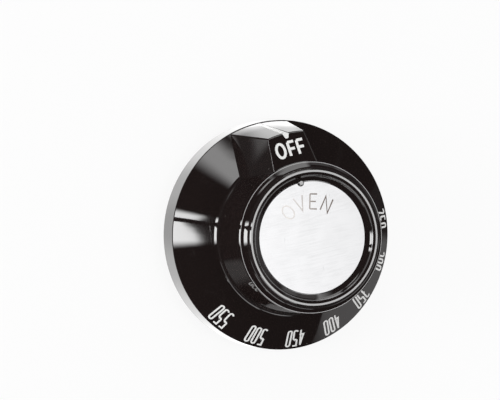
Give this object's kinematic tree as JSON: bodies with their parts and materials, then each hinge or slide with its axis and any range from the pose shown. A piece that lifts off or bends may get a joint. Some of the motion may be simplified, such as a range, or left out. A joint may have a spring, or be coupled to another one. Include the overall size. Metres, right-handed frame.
{
  "type": "oven control knob",
  "caption": "Black dial knob for a commercial oven: conical skirt with a temperature scale, tall hub, pointer lug with an index groove, bright front disc and a D socket for the shaft.",
  "frame": {"origin": "on the knob's axis, in the plane of the rim's back, on which the knob lies", "axes": "+Z along the axis, out of the front; +Y towards the pointer lug and its OFF mark; +X to the right seen from the front"},
  "size_m": [0.0603, 0.0602, 0.0308],
  "materials": {
    "phenolic": "black phenolic with a polished mould skin",
    "disc_aluminium": "bright rolled sheet",
    "spring_steel": "plain strip"
  },
  "bodies": {
    "root": {"knob_body": "phenolic", "front_disc": "disc_aluminium", "shaft_clip": "spring_steel"}
  },
  "joints": []
}
